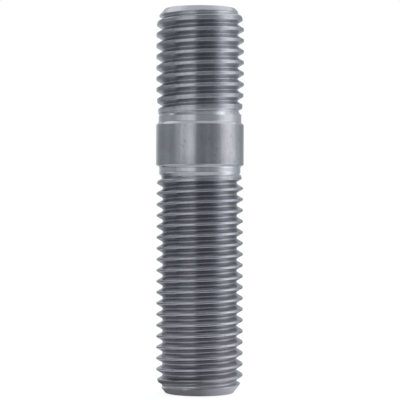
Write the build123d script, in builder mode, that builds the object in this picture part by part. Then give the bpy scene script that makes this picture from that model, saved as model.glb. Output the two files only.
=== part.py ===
"""Double ended stud, rolled from one steel bar.

The long threaded end takes a nut, the short one is driven into a tapped hole and stays there, and the
plain shank between them has the full diameter. The stud stands on its nut end: its axis is Z, and the
centre of the nut end's flat face is the origin. Lengths are in millimetres.
"""

import math
import os

from build123d import *

# Lengths along the axis, from the nut end up
NUT_END_LENGTH = 41.35
SHANK_LENGTH = 7.9
METAL_END_LENGTH = 20.75

# The thread form that both ends share: 60 degree flanks, right-hand
PITCH = 2.0
FLANK_ANGLE = 60.0

# The nut end's thread: narrow crests, so that a nut runs on freely
NUT_MAJOR_DIAMETER = 15.8
NUT_CREST_SHARE = 0.165  # crest width over pitch
NUT_DEPTH_SHARE = 0.5625  # thread depth over pitch
NUT_FIRST_CREST = 1.28  # height of a crest above the end face, on the +X side
NUT_FACE_STEP = 0.575  # from the roots in to the edge of the end face
NUT_CHAMFER_ANGLE = 38.0  # from the axis
NUT_LEAD_STEP = 1.0  # how far the crests would start below their full height at the end face
NUT_LEAD_LENGTH = 3.0  # length over which they grow to it
NUT_BLANK_STEP = 0.49  # from the crests in to the bar that the thread is rolled on
NUT_CREST_FADE = 2.35  # length over which the crests sink to that bar
NUT_GROOVE_FADE = 1.55  # length over which the groove rises to it
NUT_NECK_LENGTH = 1.15  # bar left bare beside the shank

# The metal end's thread: wide crests, so that it jams in its hole
METAL_MAJOR_DIAMETER = 16.0
METAL_CREST_SHARE = 0.25
METAL_DEPTH_SHARE = 0.545
METAL_FIRST_CREST = 1.8
METAL_FACE_STEP = 0.49
METAL_CHAMFER_ANGLE = 40.0
METAL_LEAD_STEP = 0.56
METAL_LEAD_LENGTH = 3.6
METAL_BLANK_STEP = 0.45
METAL_CREST_FADE = 4.6
METAL_GROOVE_FADE = 1.4
METAL_NECK_LENGTH = 1.05

# The edge round both end faces
END_EDGE_RADIUS = 0.3

# The shank, which slopes in to the upper neck and keeps a step above the lower one
SHANK_DIAMETER = 16.0
SHANK_UPPER_SLOPE = 0.45  # height of the cone down to the upper neck
SHANK_LOWER_CHAMFER = 0.2

# How the groove is cut: a few turns at a time, reaching past the bar's surface, and on past both ends
TURNS_PER_CUT = 3
SPARE_TURNS = 2
CUT_CLEARANCE = 0.15
RING_CLEARANCE = 1.0
BURIED_DEPTH = 0.09  # how far each thread's inner end is sunk in the bare bar

FLANK_SLOPE = math.tan(math.radians(FLANK_ANGLE / 2))
CUT_LENGTH = PITCH * TURNS_PER_CUT
TOTAL_LENGTH = NUT_END_LENGTH + SHANK_LENGTH + METAL_END_LENGTH


def turned(*outline):
    """A ring or bar turned about the axis, from its outline as (radius, height) points."""
    with BuildPart() as piece:
        with BuildSketch(Plane.YZ):
            with BuildLine():
                Polyline(*outline, close=True)
            make_face()
        revolve(axis=Axis.Z)
    return piece.part


def trimming_ring(inner_radius, inner_height, clear_radius, growth):
    """A ring whose conical bore opens from its inner edge to the clear radius, by that much per length."""
    outer_height = inner_height + (clear_radius - inner_radius) / growth
    return turned(
        (inner_radius, inner_height),
        (clear_radius, inner_height),
        (clear_radius, outer_height),
    )


def thread_groove(major_radius, crest_share, depth_share, start):
    """A few turns of the groove between two crests, its centre starting on the +X side at that height."""
    depth = PITCH * depth_share
    outer_half_width = PITCH * (1 - crest_share) / 2
    root_half_width = outer_half_width - depth * FLANK_SLOPE
    clear_half_width = outer_half_width + CUT_CLEARANCE * FLANK_SLOPE
    root_radius = major_radius - depth
    clear_radius = major_radius + CUT_CLEARANCE
    with BuildPart() as groove:
        with BuildLine():
            Helix(pitch=PITCH, height=CUT_LENGTH, radius=root_radius, center=(0, 0, start))
        with BuildSketch(Plane.XZ):
            with BuildLine():
                Polyline(
                    (root_radius, start - root_half_width),
                    (clear_radius, start - clear_half_width),
                    (clear_radius, start + clear_half_width),
                    (root_radius, start + root_half_width),
                    close=True,
                )
            make_face()
        sweep(is_frenet=True)
    return groove.part


def threaded_end(
    length,
    major_radius,
    crest_share,
    depth_share,
    first_crest,
    face_radius,
    chamfer_angle,
    lead_step,
    lead_length,
    blank_step,
    crest_fade,
):
    """A threaded end that stands on its end face, with its crests sinking to the bare bar at its top."""
    start = first_crest - (SPARE_TURNS + 0.5) * PITCH
    cuts = math.ceil((length + SPARE_TURNS * PITCH - start) / CUT_LENGTH)
    groove = thread_groove(major_radius, crest_share, depth_share, start)
    bar_bottom = start - PITCH
    bar_top = start + cuts * CUT_LENGTH + PITCH
    clear_radius = major_radius + RING_CLEARANCE
    with BuildPart() as end:
        add(turned((0, bar_bottom), (major_radius, bar_bottom), (major_radius, bar_top), (0, bar_top)))
        for cut in range(cuts):
            with Locations((0, 0, cut * CUT_LENGTH)):
                add(groove, mode=Mode.SUBTRACT)
        # the ends are sawn off square, one inside the bare bar and one at the end face
        top = length + crest_fade * BURIED_DEPTH / blank_step
        split(bisect_by=Plane.XY.offset(top), keep=Keep.BOTTOM)
        split(bisect_by=Plane.XY, keep=Keep.TOP)
        # the lead, where the crests grow to their height, and the chamfer at the end face
        lead = lead_step / lead_length
        lead_radius = major_radius - lead_step - lead * RING_CLEARANCE
        add(trimming_ring(lead_radius, -RING_CLEARANCE, clear_radius, lead), mode=Mode.SUBTRACT)
        chamfer = math.tan(math.radians(chamfer_angle))
        chamfer_radius = face_radius - chamfer * RING_CLEARANCE
        add(trimming_ring(chamfer_radius, -RING_CLEARANCE, clear_radius, chamfer), mode=Mode.SUBTRACT)
        # the cone to which the last crests sink
        fade = -blank_step / crest_fade
        fade_height = top + RING_CLEARANCE
        fade_radius = major_radius - blank_step + fade * (fade_height - length)
        add(trimming_ring(fade_radius, fade_height, clear_radius, fade), mode=Mode.SUBTRACT)
    return end.part


def root_cone(length, root_radius, blank_radius, groove_fade):
    """The buried end of the cone that fills the groove's last turns, as a (radius, height) point."""
    reach = groove_fade * (1 + BURIED_DEPTH / (blank_radius - root_radius))
    return root_radius - BURIED_DEPTH, length - reach


nut_major_radius = NUT_MAJOR_DIAMETER / 2
nut_root_radius = nut_major_radius - PITCH * NUT_DEPTH_SHARE
nut_blank_radius = nut_major_radius - NUT_BLANK_STEP
nut_thread_length = NUT_END_LENGTH - NUT_NECK_LENGTH
nut_thread = threaded_end(
    nut_thread_length,
    nut_major_radius,
    NUT_CREST_SHARE,
    NUT_DEPTH_SHARE,
    NUT_FIRST_CREST,
    nut_root_radius - NUT_FACE_STEP,
    NUT_CHAMFER_ANGLE,
    NUT_LEAD_STEP,
    NUT_LEAD_LENGTH,
    NUT_BLANK_STEP,
    NUT_CREST_FADE,
)

metal_major_radius = METAL_MAJOR_DIAMETER / 2
metal_root_radius = metal_major_radius - PITCH * METAL_DEPTH_SHARE
metal_blank_radius = metal_major_radius - METAL_BLANK_STEP
metal_thread_length = METAL_END_LENGTH - METAL_NECK_LENGTH
metal_thread = threaded_end(
    metal_thread_length,
    metal_major_radius,
    METAL_CREST_SHARE,
    METAL_DEPTH_SHARE,
    METAL_FIRST_CREST,
    metal_root_radius - METAL_FACE_STEP,
    METAL_CHAMFER_ANGLE,
    METAL_LEAD_STEP,
    METAL_LEAD_LENGTH,
    METAL_BLANK_STEP,
    METAL_CREST_FADE,
)

# The bare bar between the two threads: it carries the shank, and reaches in under each run-out with a
# cone that fills the groove's last turns
shank_radius = SHANK_DIAMETER / 2
shank_bottom = NUT_END_LENGTH
shank_top = shank_bottom + SHANK_LENGTH
nut_cone_radius, nut_cone_end = root_cone(
    nut_thread_length, nut_root_radius, nut_blank_radius, NUT_GROOVE_FADE
)
metal_cone_radius, metal_cone_depth = root_cone(
    metal_thread_length, metal_root_radius, metal_blank_radius, METAL_GROOVE_FADE
)
metal_cone_end = TOTAL_LENGTH - metal_cone_depth

with BuildPart() as stud:
    with BuildSketch(Plane.YZ):
        with BuildLine():
            Polyline(
                (0, nut_cone_end),
                (nut_cone_radius, nut_cone_end),
                (nut_blank_radius, nut_thread_length),
                (nut_blank_radius, shank_bottom),
                (shank_radius - SHANK_LOWER_CHAMFER, shank_bottom),
                (shank_radius, shank_bottom + SHANK_LOWER_CHAMFER),
                (shank_radius, shank_top - SHANK_UPPER_SLOPE),
                (metal_blank_radius, shank_top),
                (metal_blank_radius, TOTAL_LENGTH - metal_thread_length),
                (metal_cone_radius, metal_cone_end),
                (0, metal_cone_end),
                close=True,
            )
        make_face()
    revolve(axis=Axis.Z)
    add(nut_thread)
    with Locations(Location((0, 0, TOTAL_LENGTH), (180, 0, 0))):
        add(metal_thread)
    end_faces = [stud.faces().sort_by(Axis.Z)[0], stud.faces().sort_by(Axis.Z)[-1]]
    fillet([edge for face in end_faces for edge in face.edges()], END_EDGE_RADIUS)

stud.part.label = "stud"
os.makedirs("parts", exist_ok=True)
export_step(stud.part, "parts/stud.step")
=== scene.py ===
"""Dresses the double ended stud: the finely formed steel body and the studio that it stands in."""

import math
from types import SimpleNamespace

import bmesh
import bpy
from bpy.props import FloatProperty, FloatVectorProperty, IntProperty, PointerProperty
from mathutils import Matrix, Vector


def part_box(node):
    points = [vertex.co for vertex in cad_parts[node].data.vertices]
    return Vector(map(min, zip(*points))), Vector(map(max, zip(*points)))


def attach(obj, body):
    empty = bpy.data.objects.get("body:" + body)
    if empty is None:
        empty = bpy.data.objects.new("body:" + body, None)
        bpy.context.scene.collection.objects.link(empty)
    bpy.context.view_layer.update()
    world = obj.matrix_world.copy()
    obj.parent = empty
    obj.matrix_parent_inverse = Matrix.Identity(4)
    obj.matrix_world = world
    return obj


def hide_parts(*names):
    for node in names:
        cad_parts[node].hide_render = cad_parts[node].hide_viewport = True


bl_info = {
    "name": "Double ended stud",
    "version": (1, 0, 0),
    "blender": (4, 5, 0),
    "location": "3D View > Sidebar > Stud",
    "description": "Builds the rolled threads, necks and shank of a steel stud, and its studio",
    "category": "Mesh",
}

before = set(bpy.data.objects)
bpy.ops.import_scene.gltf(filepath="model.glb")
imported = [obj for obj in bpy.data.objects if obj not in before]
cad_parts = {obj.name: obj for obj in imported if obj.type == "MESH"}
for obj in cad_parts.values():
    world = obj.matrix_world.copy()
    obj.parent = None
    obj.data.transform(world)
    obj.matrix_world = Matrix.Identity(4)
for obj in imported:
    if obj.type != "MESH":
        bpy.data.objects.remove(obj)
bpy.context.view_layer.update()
STUD_LOW, STUD_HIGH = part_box("stud")

MM = 0.001
STUD_HEIGHT = float(STUD_HIGH[2] - STUD_LOW[2])
AXIS = Vector((0, 0, 1))
CENTRE = Vector((0, 0, 0))
FULL_TURN = 2 * math.pi

# How close two vertices, two heights, or a vertex and a cutting plane are when they count as one
WELD = 2e-6
SAME_HEIGHT = 1e-6
ON_PLANE = 1e-7

# How a thread is wound: the share of a root's width that its round corners take up, the steps in each
# corner and flank, and the turns past both of its ends
ROOT_ROUNDING = 0.9
ROOT_STEPS = 4
CREST_STEPS = 3
FLANK_CUTS = 4
SPARE_TURNS = 2
# The widths over which the crests and roots meet the cones that end them
CREST_SOFTNESS = 0.10 * MM
ROOT_SOFTNESS = 0.05 * MM

# The end face's own mesh: where the thread above it is cut off, the gap bridged under that cut, and the
# disc in the middle of the face
THREAD_CUT = 0.4 * MM
CUT_GAP = 0.08 * MM
HUB_RADIUS = 0.3 * MM
END_EDGE_STEPS = 6

# How much of each neck comes with the threaded end, and how much with the shank
NECK_START = 0.2 * MM
NECK_REACH = 0.7 * MM
# The shank's corners, as (radius, turn, steps): the inner ones at its two necks, and its outer edges
LOW_CORNER = (0.5 * MM, math.pi / 2, 6)
HIGH_CORNER = (0.3 * MM, math.pi / 4, 3)
SHANK_EDGES = (0.08 * MM, math.pi / 4, 2)
SHARP_ANGLE = math.radians(38)  # edges that turn by more than this stay sharp


def length(name, value, text):
    """A length property whose default is in millimetres."""
    return FloatProperty(name=name, description=text, default=value * MM, unit="LENGTH", precision=5)


def angle(name, value, text):
    """An angle property whose default is in degrees."""
    return FloatProperty(name=name, description=text, default=math.radians(value), subtype="ANGLE")


def tint(name, value, text):
    """A colour property."""
    return FloatVectorProperty(name=name, description=text, subtype="COLOR", default=value, min=0, max=1)


def factor(name, value, text):
    """A property between 0 and 1."""
    return FloatProperty(name=name, description=text, subtype="FACTOR", default=value, min=0, max=1)


class StudSizes(bpy.types.PropertyGroup):
    """The sizes of the stud, from the nut end up."""

    pitch: length("Pitch", 2.0, "Rise of both threads in one turn")
    flank_angle: angle("Flank angle", 60, "Angle between the two flanks of a groove")
    end_edge: length("End edge", 0.3, "Radius of the edge round each end face")
    crest_edge: length("Crest edges", 0.14, "Radius of both edges of every crest")
    nut_end: length("Nut end", 41.35, "Length of the nut end, from its face to the shank")
    nut_major: length("Nut end crests", 15.8, "Diameter over the nut end's crests")
    nut_crest: length("Nut end crest width", 0.33, "Width of the nut end's crests before rounding")
    nut_depth: length("Nut end depth", 1.125, "Depth of the nut end's groove")
    nut_first: length("Nut end first crest", 1.28, "Height of a crest over the end face, on the +X side")
    nut_face: length("Nut end face step", 0.575, "From the nut end's roots in to the edge of its face")
    nut_chamfer: angle("Nut end chamfer", 38, "Angle between the axis and the nut end's chamfer")
    nut_lead_step: length("Nut end lead step", 1.0, "How far the crests would start below full height")
    nut_lead: length("Nut end lead", 3.0, "Length over which the nut end's crests grow")
    nut_step: length("Nut end blank step", 0.49, "From the nut end's crests in to the bare bar")
    nut_crest_fade: length("Nut end crest fade", 2.35, "Length over which the nut end's crests sink")
    nut_groove_fade: length("Nut end groove fade", 1.55, "Length over which the nut end's groove rises")
    nut_neck: length("Nut end neck", 1.15, "Bare bar between the nut end's thread and the shank")
    metal_end: length("Metal end", 20.75, "Length of the metal end, from its face to the shank")
    metal_major: length("Metal end crests", 16.0, "Diameter over the metal end's crests")
    metal_crest: length("Metal end crest width", 0.5, "Width of the metal end's crests before rounding")
    metal_depth: length("Metal end depth", 1.09, "Depth of the metal end's groove")
    metal_first: length("Metal end first crest", 1.8, "Height of a crest over the metal end's face")
    metal_face: length("Metal end face step", 0.49, "From the metal end's roots in to the edge of its face")
    metal_chamfer: angle("Metal end chamfer", 40, "Angle between the axis and the metal end's chamfer")
    metal_lead_step: length("Metal end lead step", 0.56, "How far the crests would start below full height")
    metal_lead: length("Metal end lead", 3.6, "Length over which the metal end's crests grow")
    metal_step: length("Metal end blank step", 0.45, "From the metal end's crests in to the bare bar")
    metal_crest_fade: length("Metal end crest fade", 4.6, "Length over which the metal end's crests sink")
    metal_groove_fade: length("Metal end groove fade", 1.4, "Length over which the metal end's groove rises")
    metal_neck: length("Metal end neck", 1.05, "Bare bar between the metal end's thread and the shank")
    shank: length("Shank diameter", 16.0, "Diameter of the plain shank")
    shank_upper: length("Upper shank slope", 0.45, "Height of the slope from the shank to the upper neck")
    shank_lower: length("Lower shank chamfer", 0.2, "Chamfer on the shank's edge at the nut end")
    stations: IntProperty(name="Stations", description="Steps in one turn", default=96, min=24, max=180)


class SteelLook(bpy.types.PropertyGroup):
    """The bright rolled steel."""

    steel: tint("Steel", (0.66, 0.652, 0.684), "Colour of clean steel")
    # this colour also paints the shade in the thread roots
    stain: tint("Stain", (0.43, 0.426, 0.452), "Colour of the steel where rolling oil has darkened it")
    turned: tint("Turned steel", (0.78, 0.78, 0.80), "Colour of the necks and of both ends")
    roughness: factor("Shank roughness", 0.12, "Roughness of the drawn shank")
    thread_roughness: factor("Thread roughness", 0.18, "Roughness of the rolled threads")


class StudioSetup(bpy.types.PropertyGroup):
    """The camera and the tent of cloth."""

    distance: length("Camera distance", 303.0, "From the stud's axis to the camera")
    height: length("Camera height", 35.13, "Height of the camera over the floor")
    aside: length("Camera offset", 0.04, "How far the camera stands to the right of the stud's axis")
    roll: angle("Camera roll", -0.15, "How far the camera is turned about its view")
    lens: FloatProperty(
        name="Lens", description="Focal length on the 36 mm sensor", default=149.4, unit="CAMERA"
    )
    tent: length("Tent radius", 700.0, "Radius of the tent of cloth round the stud")
    tent_height: length("Tent height", 500.0, "Height of the tent's roof over the floor")


def sizes():
    return bpy.context.scene.stud_sizes


def look():
    return bpy.context.scene.stud_look


def studio():
    return bpy.context.scene.stud_studio


# ---------------------------------------------------------------- geometry


def polyline(bm, points):
    """Edges through (radius, height) points in the half plane over +X, and their vertices."""
    verts = [bm.verts.new((r, 0, z)) for r, z in points]
    for low, high in zip(verts, verts[1:]):
        bm.edges.new((low, high))
    return verts


def round_corners(bm, verts, radius, turn, segments):
    """Rounds corners of an outline that turns by the same angle at each of these vertices."""
    bmesh.ops.bevel(
        bm,
        geom=verts,
        offset=radius * math.tan(turn / 2),
        offset_type="OFFSET",
        segments=segments,
        profile=0.5,
        affect="VERTICES",
        material=-1,
    )


def turn_outline(bm, stations):
    """Spins everything in the mesh once round the axis."""
    bmesh.ops.spin(
        bm,
        geom=bm.verts[:] + bm.edges[:],
        cent=CENTRE,
        axis=AXIS,
        angle=FULL_TURN,
        steps=stations,
        use_merge=True,
        use_duplicate=False,
    )
    bmesh.ops.remove_doubles(bm, verts=bm.verts[:], dist=WELD)


def soft_min(a, b, width):
    """The smaller of two radii, rounded where they cross."""
    blend = min(max(0.5 + 0.5 * (b - a) / width, 0.0), 1.0)
    return b + (a - b) * blend - width * blend * (1 - blend)


def soft_max(a, b, width):
    """The larger of two radii, rounded where they cross."""
    return -soft_min(-a, -b, width)


def end_sizes(end):
    """The sizes of one threaded end, with the radii and the thread's length that follow from them."""
    names = [name for name in StudSizes.__annotations__ if name.startswith(end + "_")]
    e = SimpleNamespace(**{name.removeprefix(end + "_"): getattr(sizes(), name) for name in names})
    e.radius = e.major / 2
    e.root = e.radius - e.depth
    e.blank = e.radius - e.step
    e.thread = e.end - e.neck
    return e


def thread_outline(bm, e, start):
    """Half a root, a crest and half a root, with rounded corners, from that height up."""
    s = sizes()
    flank_rise = e.depth * math.tan(s.flank_angle / 2)
    root_half = (s.pitch - e.crest) / 2 - flank_rise
    polyline(
        bm,
        [
            (e.root, start),
            (e.root, start + root_half),
            (e.radius, start + root_half + flank_rise),
            (e.radius, start + s.pitch - root_half - flank_rise),
            (e.root, start + s.pitch - root_half),
            (e.root, start + s.pitch),
        ],
    )
    turn = math.pi / 2 - s.flank_angle / 2
    root_radius = ROOT_ROUNDING * root_half / math.tan(turn / 2)
    roots = [vert for vert in bm.verts if abs(vert.co.x - e.root) < WELD and len(vert.link_edges) == 2]
    round_corners(bm, roots, root_radius, turn, ROOT_STEPS)
    crests = [vert for vert in bm.verts if abs(vert.co.x - e.radius) < WELD]
    round_corners(bm, crests, s.crest_edge, turn, CREST_STEPS)
    # of all edges, only the flanks climb more than a third of the depth
    flanks = [edge for edge in bm.edges if abs(edge.verts[0].co.x - edge.verts[1].co.x) > e.depth / 3]
    bmesh.ops.subdivide_edges(bm, edges=flanks, cuts=FLANK_CUTS)


def wind_thread(e):
    """The thread at full depth, from some turns below the end face to some above its last crest."""
    s = sizes()
    start = e.first - (SPARE_TURNS + 0.5) * s.pitch
    turns = math.ceil((e.thread + SPARE_TURNS * s.pitch - start) / s.pitch)
    bm = bmesh.new()
    thread_outline(bm, e, start)
    bmesh.ops.spin(
        bm,
        geom=bm.verts[:] + bm.edges[:],
        cent=CENTRE,
        axis=AXIS,
        dvec=AXIS * (s.pitch / s.stations),
        angle=FULL_TURN,
        steps=s.stations,
        use_duplicate=False,
    )
    first_turn = bm.verts[:] + bm.edges[:] + bm.faces[:]
    for copy in range(1, turns):
        made = bmesh.ops.duplicate(bm, geom=first_turn)["geom"]
        moved = [item for item in made if isinstance(item, bmesh.types.BMVert)]
        bmesh.ops.translate(bm, verts=moved, vec=AXIS * (s.pitch * copy))
    bmesh.ops.remove_doubles(bm, verts=bm.verts[:], dist=WELD)
    return bm


def fade_thread(bm, e, face, chamfer):
    """Trims the crests to the lead, the chamfer and the run-out, and fills the groove's last turns."""
    lead = e.lead_step / e.lead
    for vert in bm.verts:
        height = vert.co.z
        radius = math.hypot(vert.co.x, vert.co.y)
        left = e.thread - height
        crest_cone = e.blank + e.step * left / e.crest_fade
        root_cone = min(e.blank, e.blank - (e.blank - e.root) * left / e.groove_fade)
        wanted = soft_min(radius, e.radius - e.lead_step + height * lead, CREST_SOFTNESS)
        wanted = soft_min(wanted, face + height * chamfer, CREST_SOFTNESS)
        wanted = soft_min(wanted, crest_cone, CREST_SOFTNESS)
        if left < 2 * e.groove_fade:
            wanted = soft_max(wanted, root_cone, ROOT_SOFTNESS)
        if left < 0:
            wanted = e.blank
        vert.co.x *= wanted / radius
        vert.co.y *= wanted / radius


def threaded_end(end):
    """One threaded end, standing on its end face, as an open mesh that stops in the bare bar."""
    e = end_sizes(end)
    face = e.root - e.face
    chamfer = math.tan(e.chamfer)
    bm = wind_thread(e)
    fade_thread(bm, e, face, chamfer)
    for height, outward in ((THREAD_CUT, -AXIS), (e.thread + NECK_START, AXIS)):
        bmesh.ops.bisect_plane(
            bm,
            geom=bm.verts[:] + bm.edges[:] + bm.faces[:],
            dist=ON_PLANE,
            plane_co=(0, 0, height),
            plane_no=outward,
            clear_outer=True,
        )
    add_end_cap(bm, face, chamfer)
    return bm


def rim(bm, height):
    """The open edges that lie at one height."""
    return [
        edge
        for edge in bm.edges
        if edge.is_boundary and all(abs(vert.co.z - height) < SAME_HEIGHT for vert in edge.verts)
    ]


def join_mesh(bm, other):
    """Moves another mesh's geometry into bm."""
    carrier = bpy.data.meshes.new("carrier")
    other.to_mesh(carrier)
    other.free()
    bm.from_mesh(carrier)
    bpy.data.meshes.remove(carrier)


def add_end_cap(bm, face, chamfer):
    """The end face, its rounded edge and the foot of the chamfer, joined to the thread above."""
    s = sizes()
    cap = bmesh.new()
    top = THREAD_CUT - CUT_GAP
    _, face_edge, _ = polyline(cap, [(HUB_RADIUS, 0), (face, 0), (face + top * chamfer, top)])
    round_corners(cap, [face_edge], s.end_edge, math.pi / 2 - math.atan(chamfer), END_EDGE_STEPS)
    turn_outline(cap, s.stations)
    hub = [edge for edge in cap.edges if edge.is_boundary and edge.verts[0].co.z < WELD]
    bmesh.ops.contextual_create(cap, geom=hub)
    join_mesh(bm, cap)
    bmesh.ops.bridge_loops(bm, edges=rim(bm, top) + rim(bm, THREAD_CUT))


def shank_ring():
    """The plain shank with its two shoulders, open where the necks go on, and those two heights."""
    s = sizes()
    bottom = s.nut_end
    top = STUD_HEIGHT - s.metal_end
    radius = s.shank / 2
    low_neck = end_sizes("nut").blank
    high_neck = end_sizes("metal").blank
    bm = bmesh.new()
    _, low_corner, *edges, high_corner, _ = polyline(
        bm,
        [
            (low_neck, bottom - NECK_REACH),
            (low_neck, bottom),
            (radius - s.shank_lower, bottom),
            (radius, bottom + s.shank_lower),
            (radius, top - s.shank_upper),
            (high_neck, top),
            (high_neck, top + NECK_REACH),
        ],
    )
    round_corners(bm, [low_corner], *LOW_CORNER)
    round_corners(bm, edges, *SHANK_EDGES)
    round_corners(bm, [high_corner], *HIGH_CORNER)
    turn_outline(bm, s.stations)
    return bm, bottom - NECK_REACH, top + NECK_REACH


# ---------------------------------------------------------------- materials

WHITE = (1, 1, 1, 1)

# A Mix node's first input, second input and result, by its data type
MIX_SOCKETS = {"FLOAT": (2, 3, 0), "RGBA": (6, 7, 2)}

# Noise in the steel, as (cells per metre, detail, roughness)
WANDER = (160, 2, 0.5)
RINGS = (5200, 3, 0.6)
STREAKS = (2600, 3, 0.55)
CLOUDS = (210, 4, 0.5)
SPECKS = (1500, 3, 0.5)
WANDER_REACH = 0.15 * MM  # how far the marks round the axis stray
STREAK_STRETCH = 0.03  # the marks along the axis are this much finer across than along
MARK_DEPTH = 0.012 * MM
MARK_STRENGTH = 0.35

# Zones of the steel, as two pairs of distances in mm over which each starts and ends: above the shank's
# lower and upper shoulder, or above the two end faces
PLAIN_SHANK = ((0.0, 0.2), (-0.6, -0.4))
SHANK_AND_NECKS = ((-2.2, -1.8), (2.0, 2.6))
ROOT_SHADE_ZONE = ((0.8, 1.6), (-1.6, -0.8))
BETWEEN_CHAMFERS = ((1.5, 2.2), (-1.8, -1.2))

# Painted shade in the thread roots, which darkens their colour: the radii between which it thins out, and
# how much each end keeps
ROOT_SHADE_RADII = (7.0 * MM, 7.8 * MM)
NUT_ROOT_SHADE = 0.95
METAL_ROOT_SHADE = 0.5

# How noise becomes dirt or roughness, as a range of the noise and what its two ends give
CLOUD_DIRT = (0.42, 0.68, 0.0, 0.3)
SPECK_DIRT = (0.60, 0.72, 0.0, 0.5)
MARK_DIRT = (0.35, 0.75, 0.0, 0.30)
CLOUD_ROUGHNESS = (0.35, 0.7, -0.03, 0.05)
MARK_ROUGHNESS = (0.3, 0.8, -0.02, 0.05)
NECK_POLISH = 0.03  # how much smoother the necks are than the threads
TURNED_METALLIC = 0.78

# The board's light: what it scatters, what of it is seen to take a shadow, and its own glow
BOARD_GREY = 0.8
SHADOWED_GREY = 0.3
BOARD_GLOW = 0.88


def node(tree, kind, **settings):
    """A new shader node with its plain settings."""
    made = tree.nodes.new("ShaderNode" + kind)
    for key, value in settings.items():
        setattr(made, key, value)
    return made


def feed(tree, socket, value):
    """Gives an input its number or colour, or links another node's result to it."""
    if isinstance(value, bpy.types.NodeSocket):
        tree.links.new(value, socket)
    else:
        socket.default_value = value


def maths(tree, operation, *inputs):
    """The result of a Math node whose inputs are numbers or sockets."""
    made = node(tree, "Math", operation=operation)
    for socket, value in zip(made.inputs, inputs):
        feed(tree, socket, value)
    return made.outputs[0]


def total(tree, first, *others):
    """The sum of numbers or sockets."""
    for other in others:
        first = maths(tree, "ADD", first, other)
    return first


def scaled(tree, colour, strength):
    """A colour times a number."""
    made = node(tree, "VectorMath", operation="SCALE")
    feed(tree, made.inputs[0], colour)
    feed(tree, made.inputs["Scale"], strength)
    return made.outputs[0]


def noise(tree, vector, scale, detail, rough):
    """Noise on a vector."""
    made = node(tree, "TexNoise")
    feed(tree, made.inputs["Vector"], vector)
    feed(tree, made.inputs["Scale"], scale)
    feed(tree, made.inputs["Detail"], detail)
    feed(tree, made.inputs["Roughness"], rough)
    return made.outputs["Fac"]


def spread(tree, value, low, high, to_low=0.0, to_high=1.0):
    """Stretches a value's range, held at both ends."""
    made = node(tree, "MapRange", clamp=True)
    feed(tree, made.inputs["Value"], value)
    for socket, number in zip(("From Min", "From Max", "To Min", "To Max"), (low, high, to_low, to_high)):
        feed(tree, made.inputs[socket], number)
    return made.outputs["Result"]


def split(tree, coords):
    """A point's x, y and z."""
    made = node(tree, "SeparateXYZ")
    feed(tree, made.inputs[0], coords)
    return made.outputs


def combine(tree, *parts):
    """A vector from its x, y and z."""
    made = node(tree, "CombineXYZ")
    for socket, value in zip(made.inputs, parts):
        feed(tree, socket, value)
    return made.outputs[0]


def from_axis(tree, x, y):
    """A point's distance from the stud's axis."""
    squares = total(tree, maths(tree, "MULTIPLY", x, x), maths(tree, "MULTIPLY", y, y))
    return maths(tree, "SQRT", squares)


def mix(tree, kind, share, first, second):
    """Goes from the first number or colour to the second."""
    made = node(tree, "Mix", data_type=kind)
    low, high, result = MIX_SOCKETS[kind]
    feed(tree, made.inputs["Factor"], share)
    feed(tree, made.inputs[low], first)
    feed(tree, made.inputs[high], second)
    return made.outputs[result]


def zone(tree, z, low, high, edges):
    """1 between two heights and 0 beyond them. Both edges are pairs in mm, measured from their heights."""
    rise, fall = edges
    above = spread(tree, z, *(low + distance * MM for distance in rise))
    below = spread(tree, z, *(high + distance * MM for distance in fall), 1.0, 0.0)
    return maths(tree, "MULTIPLY", above, below)


def rgba(colour):
    """A colour property as a shader takes it."""
    return (*colour, 1.0)


def fine_marks(tree, coords, on_shank):
    """The marks of rolling and turning, round the axis, and on the shank those of drawing, along it."""
    x, y, z = split(tree, coords)
    wander = maths(tree, "MULTIPLY", noise(tree, coords, *WANDER), WANDER_REACH)
    round_marks = combine(tree, total(tree, from_axis(tree, x, y), wander), total(tree, z, wander), 0.0)
    along = combine(tree, x, y, maths(tree, "MULTIPLY", z, STREAK_STRETCH))
    return mix(tree, "FLOAT", on_shank, noise(tree, round_marks, *RINGS), noise(tree, along, *STREAKS))


def painted_root_shade(tree, coords, shank_low, shank_high):
    """Painted shade in the roots: their colour darkened towards the stain, less of it at the metal end."""
    x, y, z = split(tree, coords)
    in_root = spread(tree, from_axis(tree, x, y), *ROOT_SHADE_RADII, 1.0, 0.0)
    off_ends = zone(tree, z, 0.0, STUD_HEIGHT, ROOT_SHADE_ZONE)
    strength = spread(tree, z, shank_low, shank_high, NUT_ROOT_SHADE, METAL_ROOT_SHADE)
    return maths(tree, "MULTIPLY", maths(tree, "MULTIPLY", in_root, off_ends), strength)


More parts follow.
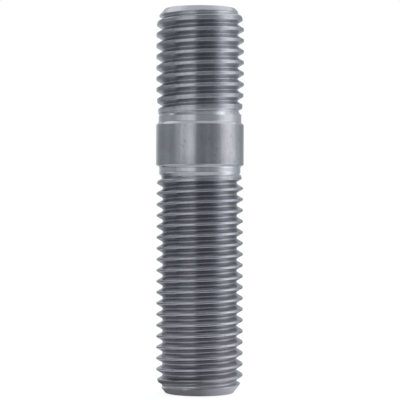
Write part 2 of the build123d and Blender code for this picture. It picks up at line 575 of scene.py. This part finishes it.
def steel_material():
    """Bright rolled steel: painted shade in the roots, fine marks round the threads, drawing marks along the
    shank.
    """
    material = bpy.data.materials.new("rolled_steel")
    material.use_nodes = True
    tree = material.node_tree
    shader = tree.nodes["Principled BSDF"]
    coords = node(tree, "TexCoord").outputs["Object"]
    height = split(tree, coords)[2]
    shank_low = sizes().nut_end
    shank_high = STUD_HEIGHT - sizes().metal_end

    on_shank = zone(tree, height, shank_low, shank_high, PLAIN_SHANK)
    middle = zone(tree, height, shank_low, shank_high, SHANK_AND_NECKS)
    necks = maths(tree, "SUBTRACT", middle, on_shank)
    ends = maths(tree, "SUBTRACT", 1.0, zone(tree, height, 0.0, STUD_HEIGHT, BETWEEN_CHAMFERS))
    turned = maths(tree, "MAXIMUM", necks, ends)

    marks = fine_marks(tree, coords, on_shank)
    clouds = noise(tree, coords, *CLOUDS)
    # random dirt and marks darken the colour towards the stain, and so does the painted shade in the roots
    dirt = node(tree, "Clamp")
    parts = (
        painted_root_shade(tree, coords, shank_low, shank_high),
        spread(tree, clouds, *CLOUD_DIRT),
        spread(tree, noise(tree, coords, *SPECKS), *SPECK_DIRT),
        spread(tree, marks, *MARK_DIRT),
    )
    feed(tree, dirt.inputs["Value"], total(tree, *parts))
    colour = mix(tree, "RGBA", dirt.outputs[0], rgba(look().steel), rgba(look().stain))
    feed(tree, shader.inputs["Base Color"], mix(tree, "RGBA", turned, colour, rgba(look().turned)))
    feed(tree, shader.inputs["Metallic"], spread(tree, turned, 0.0, 1.0, 1.0, TURNED_METALLIC))

    finish = total(
        tree,
        spread(tree, on_shank, 0.0, 1.0, look().thread_roughness, look().roughness),
        maths(tree, "MULTIPLY", necks, -NECK_POLISH),
        spread(tree, clouds, *CLOUD_ROUGHNESS),
        spread(tree, marks, *MARK_ROUGHNESS),
    )
    feed(tree, shader.inputs["Roughness"], finish)

    bump = node(tree, "Bump")
    feed(tree, bump.inputs["Strength"], MARK_STRENGTH)
    feed(tree, bump.inputs["Distance"], MARK_DEPTH)
    feed(tree, bump.inputs["Height"], marks)
    feed(tree, shader.inputs["Normal"], bump.outputs["Normal"])
    return material


def blank_material(name):
    """A new material with nothing but its output, and its node tree."""
    material = bpy.data.materials.new(name)
    material.use_nodes = True
    tree = material.node_tree
    tree.nodes.remove(tree.nodes["Principled BSDF"])
    return material, tree


def matt(tree, grey):
    """A matt grey shader."""
    made = node(tree, "BsdfDiffuse")
    feed(tree, made.inputs["Color"], (grey, grey, grey, 1))
    return made.outputs[0]


def glowing(tree, colour, strength):
    """A shader that gives light."""
    made = node(tree, "Emission")
    feed(tree, made.inputs["Color"], colour)
    feed(tree, made.inputs["Strength"], strength)
    return made.outputs[0]


def white_when_seen(tree, plain, seen):
    """Joins a shader for light that bounces with one for what the camera and reflections see."""
    path = node(tree, "LightPath")
    direct = maths(tree, "MAXIMUM", path.outputs["Is Camera Ray"], path.outputs["Is Glossy Ray"])
    direct = maths(tree, "MAXIMUM", direct, path.outputs["Is Transmission Ray"])
    made = node(tree, "MixShader")
    for socket, value in zip(made.inputs, (direct, plain, seen)):
        feed(tree, socket, value)
    return made.outputs[0]


def floor_material():
    """Matt white board that looks as white as the background and keeps a faint shadow."""
    material, tree = blank_material("white_board")
    both = node(tree, "AddShader")
    feed(tree, both.inputs[0], matt(tree, SHADOWED_GREY))
    feed(tree, both.inputs[1], glowing(tree, WHITE, BOARD_GLOW))
    board = white_when_seen(tree, matt(tree, BOARD_GREY), both.outputs[0])
    feed(tree, tree.nodes["Material Output"].inputs["Surface"], board)
    return material


# The cloth's brightness on each side, as (azimuth in degrees, brightness): 0 is the front, 90 the right
TENT_GLOW = (
    (-180, 0.58),
    (-155, 0.56),
    (-135, 0.32),
    (-117, 0.28),
    (-103, 0.32),
    (-76, 0.28),
    (-71, 0.28),
    (-65, 0.44),
    (-54, 0.43),
    (-47, 0.54),
    (-39, 0.46),
    (-31, 0.62),
    (-25, 0.60),
    (-17, 0.53),
    (-8, 0.26),
    (4, 0.21),
    (14, 0.22),
    (22, 0.25),
    (31, 0.23),
    (40, 0.27),
    (52, 0.40),
    (62, 0.60),
    (75, 0.80),
    (86, 0.82),
    (98, 0.74),
    (110, 0.55),
    (121, 0.48),
    (134, 0.37),
    (150, 0.38),
    (180, 0.58),
)
# The cloth is a little blue, and less so where it is bright
CLOTH_BLUE = 0.11
BLUE_LOSS = 0.1
COOL_WHITE = (0.96, 0.985, 1.05)

# How the roof and the floor change with x, y or the distance from the axis, as a range in metres and what
# its two ends give
ROOF_OVERHEAD = (0.0, 0.12, 0.5, 0.8)  # brightness in the middle, by y
ROOF_FRONT = (0.1, -0.05, 0.0, 1.0)  # how far a point belongs to the front, by y
ROOF_AWAY = (0.2, 0.45, 0.0, 0.85)  # share of the walls' pattern there, by distance
ROOF_STRENGTH = (-0.2, 0.3, 0.8, 2.2)  # how bright that pattern is, by x
# the floor cloth's painted shadow of the stud, darkest on the left
FLOOR_PAINTED_SHADOW = (0.0, 0.008, 0.13, 0.6)  # brightness close to the stud, by x
FLOOR_RING = (0.02, 0.04, 0.75, 0.5)  # brightness of the ring round it, by distance
RING_START = (0.012, 0.02)
RING_END = (0.055, 0.085)
FLOOR_STRENGTH = (-0.08, 0.12, 0.9, 2.7)  # how bright the walls' pattern is beyond the ring, by x
PATTERN_END = (0.11, 0.25)  # from there out the floor is as the walls are


def azimuth_glow(tree, x, y):
    """The tent's brightness at a point's azimuth."""
    turn = maths(tree, "ARCTAN2", x, maths(tree, "MULTIPLY", y, -1.0))
    ramp = node(tree, "ValToRGB")
    feed(tree, ramp.inputs[0], spread(tree, turn, -math.pi, math.pi))
    stops = ramp.color_ramp.elements
    while len(stops) < len(TENT_GLOW):
        stops.new(0.5)
    for stop, (azimuth, glow) in zip(stops, TENT_GLOW):
        stop.position = (azimuth + 180) / 360
        blue = CLOTH_BLUE - BLUE_LOSS * glow
        stop.color = (glow * (1 - blue), glow, glow * (1 + blue), 1)
    return ramp.outputs[0]


def squared(tree, glow, strength):
    """The walls' pattern with more contrast."""
    product = node(tree, "VectorMath", operation="MULTIPLY")
    for socket in product.inputs[:2]:
        feed(tree, socket, glow)
    return scaled(tree, product.outputs[0], strength)


def roof_pattern(tree, x, y):
    """Even in the middle and behind, and in front as the walls are, with more contrast."""
    overhead = scaled(tree, COOL_WHITE, spread(tree, y, *ROOF_OVERHEAD))
    front = spread(tree, y, *ROOF_FRONT)
    away = maths(tree, "MULTIPLY", spread(tree, from_axis(tree, x, y), *ROOF_AWAY), front)
    pattern = squared(tree, azimuth_glow(tree, x, y), spread(tree, x, *ROOF_STRENGTH))
    return mix(tree, "RGBA", away, overhead, pattern)


def floor_pattern(tree, x, y):
    """The stud's shadow painted dark close to it, most of all on the left, then a bright ring, then as the
    walls are.
    """
    distance = from_axis(tree, x, y)
    glow = azimuth_glow(tree, x, y)
    # painted shadow of the stud, darker on the left
    middle = spread(tree, x, *FLOOR_PAINTED_SHADOW)
    ring = spread(tree, distance, *FLOOR_RING)
    near = scaled(tree, COOL_WHITE, mix(tree, "FLOAT", spread(tree, distance, *RING_START), middle, ring))
    pattern = squared(tree, glow, spread(tree, x, *FLOOR_STRENGTH))
    outer = mix(tree, "RGBA", spread(tree, distance, *PATTERN_END), pattern, glow)
    return mix(tree, "RGBA", spread(tree, distance, *RING_END), near, outer)


def tent_material(name, pattern):
    """Softly glowing cloth with its own pattern of bright and dark."""
    material, tree = blank_material(name)
    x, y, _ = split(tree, node(tree, "TexCoord").outputs["Object"])
    cloth = glowing(tree, pattern(tree, x, y), 1.0)
    feed(tree, tree.nodes["Material Output"].inputs["Surface"], cloth)
    return material


# ---------------------------------------------------------------- operators


class StudBody(bpy.types.Operator):
    """Build the stud's body: both rolled threads, their run-outs, the necks and the shank"""

    bl_idname = "stud.body"
    bl_label = "Build the body"

    def execute(self, context):
        s = sizes()
        bm = threaded_end("nut")
        metal = threaded_end("metal")
        flip = Matrix.Translation((0, 0, STUD_HEIGHT)) @ Matrix.Rotation(math.pi, 4, "X")
        bmesh.ops.transform(metal, matrix=flip, verts=metal.verts[:])
        shank, low, high = shank_ring()
        neck_low = s.nut_end - s.nut_neck + NECK_START
        neck_high = STUD_HEIGHT - s.metal_end + s.metal_neck - NECK_START
        join_mesh(bm, shank)
        join_mesh(bm, metal)
        bmesh.ops.bridge_loops(bm, edges=rim(bm, neck_low) + rim(bm, low))
        bmesh.ops.bridge_loops(bm, edges=rim(bm, high) + rim(bm, neck_high))
        bmesh.ops.recalc_face_normals(bm, faces=bm.faces[:])
        if any(not edge.is_manifold for edge in bm.edges):
            raise RuntimeError("the stud's surface isn't closed")
        for face in bm.faces:
            face.smooth = True
        mesh = bpy.data.meshes.new("rolled_stud")
        bm.to_mesh(mesh)
        bm.free()
        mesh.set_sharp_from_angle(angle=SHARP_ANGLE)
        mesh.materials.append(steel_material())
        body = bpy.data.objects.new("rolled_stud", mesh)
        context.scene.collection.objects.link(body)
        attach(body, "root")
        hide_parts("stud")
        return {"FINISHED"}


# The board, its cloth and the tent's round walls, in metres: both levels lie just under the stud
BOARD_LEVEL = -0.05 * MM
CLOTH_LEVEL = -0.02 * MM
BOARD_REACH = 6.0  # from its middle to each edge
TENT_SIDES = 72
# The softboxes, as (name, azimuth in degrees, width in metres), and what they share
SOFTBOXES = (("left_softbox", -33, 0.38), ("right_softbox", 80, 0.45))
SOFTBOX_HEIGHT = 0.8
SOFTBOX_DISTANCE = 0.5
SOFTBOX_RADIANCE = 0.1
WORLD_LIGHT = 0.6
SENSOR_WIDTH = 36


def staged(name, bm, material, level=0.0):
    """A piece of the studio, at its level."""
    mesh = bpy.data.meshes.new(name)
    bm.to_mesh(mesh)
    bm.free()
    mesh.materials.append(material)
    made = bpy.data.objects.new(name, mesh)
    made.location.z = level
    bpy.context.scene.collection.objects.link(made)
    return made


def cloth(name, bm, pattern, level=0.0):
    """A piece of the tent, which the camera doesn't see."""
    made = staged(name, bm, tent_material(name, pattern), level)
    made.visible_camera = False
    return made


def disc(radius):
    """A flat disc."""
    bm = bmesh.new()
    bmesh.ops.create_circle(bm, cap_ends=True, segments=TENT_SIDES, radius=radius)
    return bm


def softbox(name, azimuth, width):
    """A rectangular softbox that faces the stud's middle. Azimuth 0 is the front, 90 the right."""
    turn = math.radians(azimuth)
    way = Vector((math.sin(turn), -math.cos(turn), 0))
    light = bpy.data.lights.new(name, "AREA")
    light.shape = "RECTANGLE"
    light.size = width
    light.size_y = SOFTBOX_HEIGHT
    light.energy = SOFTBOX_RADIANCE * math.pi * width * SOFTBOX_HEIGHT
    holder = bpy.data.objects.new(name, light)
    holder.location = AXIS * (STUD_HEIGHT / 2) + way * SOFTBOX_DISTANCE
    holder.rotation_euler = (-way).to_track_quat("-Z", "Y").to_euler()
    holder.visible_camera = False
    bpy.context.scene.collection.objects.link(holder)


def white_background(made, strength):
    """A world's shader of white light."""
    made.inputs["Color"].default_value = WHITE
    made.inputs["Strength"].default_value = strength
    return made.outputs[0]


class StudStage(bpy.types.Operator):
    """Set up the floor, the tent, the lamps, the background and the camera"""

    bl_idname = "stud.stage"
    bl_label = "Set up the studio"

    def execute(self, context):
        scene = context.scene
        setup = studio()
        board = bmesh.new()
        bmesh.ops.create_grid(board, x_segments=1, y_segments=1, size=BOARD_REACH)
        bmesh.ops.translate(board, verts=board.verts[:], vec=AXIS * BOARD_LEVEL)
        staged("floor", board, floor_material())

        # a tent of glowing cloth, which only the steel and the board see
        wall = bmesh.new()
        polyline(wall, [(setup.tent, 0.0), (setup.tent, setup.tent_height)])
        turn_outline(wall, TENT_SIDES)
        cloth("tent_wall", wall, azimuth_glow)
        cloth("tent_roof", disc(setup.tent), roof_pattern, setup.tent_height)
        # and a glowing cloth on the board, with the stud's shadow painted into it, which only the steel sees
        ground = cloth("tent_floor", disc(setup.tent), floor_pattern, CLOTH_LEVEL)
        ground.visible_shadow = False
        ground.visible_diffuse = False

        for name, azimuth, width in SOFTBOXES:
            softbox(name, azimuth, width)

        world = bpy.data.worlds.new("studio")
        world.use_nodes = True
        scene.world = world
        tree = world.node_tree
        plain = white_background(tree.nodes["Background"], WORLD_LIGHT)
        white = white_background(node(tree, "Background"), 1.0)
        feed(tree, tree.nodes["World Output"].inputs["Surface"], white_when_seen(tree, plain, white))

        optics = bpy.data.cameras.new("camera")
        optics.lens = setup.lens
        optics.sensor_width = SENSOR_WIDTH
        optics.clip_start = 0.01
        optics.clip_end = 50
        camera = bpy.data.objects.new("camera", optics)
        camera.location = (setup.aside, -setup.distance, setup.height)
        camera.rotation_euler = (math.pi / 2, setup.roll, 0)
        scene.collection.objects.link(camera)
        scene.camera = camera
        scene.view_settings.view_transform = "Standard"
        return {"FINISHED"}


class StudPanel(bpy.types.Panel):
    """The stud's tools and sizes"""

    bl_idname = "VIEW3D_PT_stud"
    bl_label = "Double ended stud"
    bl_space_type = "VIEW_3D"
    bl_region_type = "UI"
    bl_category = "Stud"

    def draw(self, context):
        column = self.layout.column()
        for tool in (StudBody, StudStage):
            column.operator(tool.bl_idname)
        for group in (context.scene.stud_sizes, context.scene.stud_look, context.scene.stud_studio):
            for name in group.__annotations__:
                column.prop(group, name)


CLASSES = (StudSizes, SteelLook, StudioSetup, StudBody, StudStage, StudPanel)
GROUPS = {"stud_sizes": StudSizes, "stud_look": SteelLook, "stud_studio": StudioSetup}


def register():
    for cls in CLASSES:
        bpy.utils.register_class(cls)
    for name, group in GROUPS.items():
        setattr(bpy.types.Scene, name, PointerProperty(type=group))


def unregister():
    for name in GROUPS:
        delattr(bpy.types.Scene, name)
    for cls in reversed(CLASSES):
        bpy.utils.unregister_class(cls)


def main():
    register()
    bpy.ops.stud.body()
    bpy.ops.stud.stage()


if __name__ == "__main__":
    main()
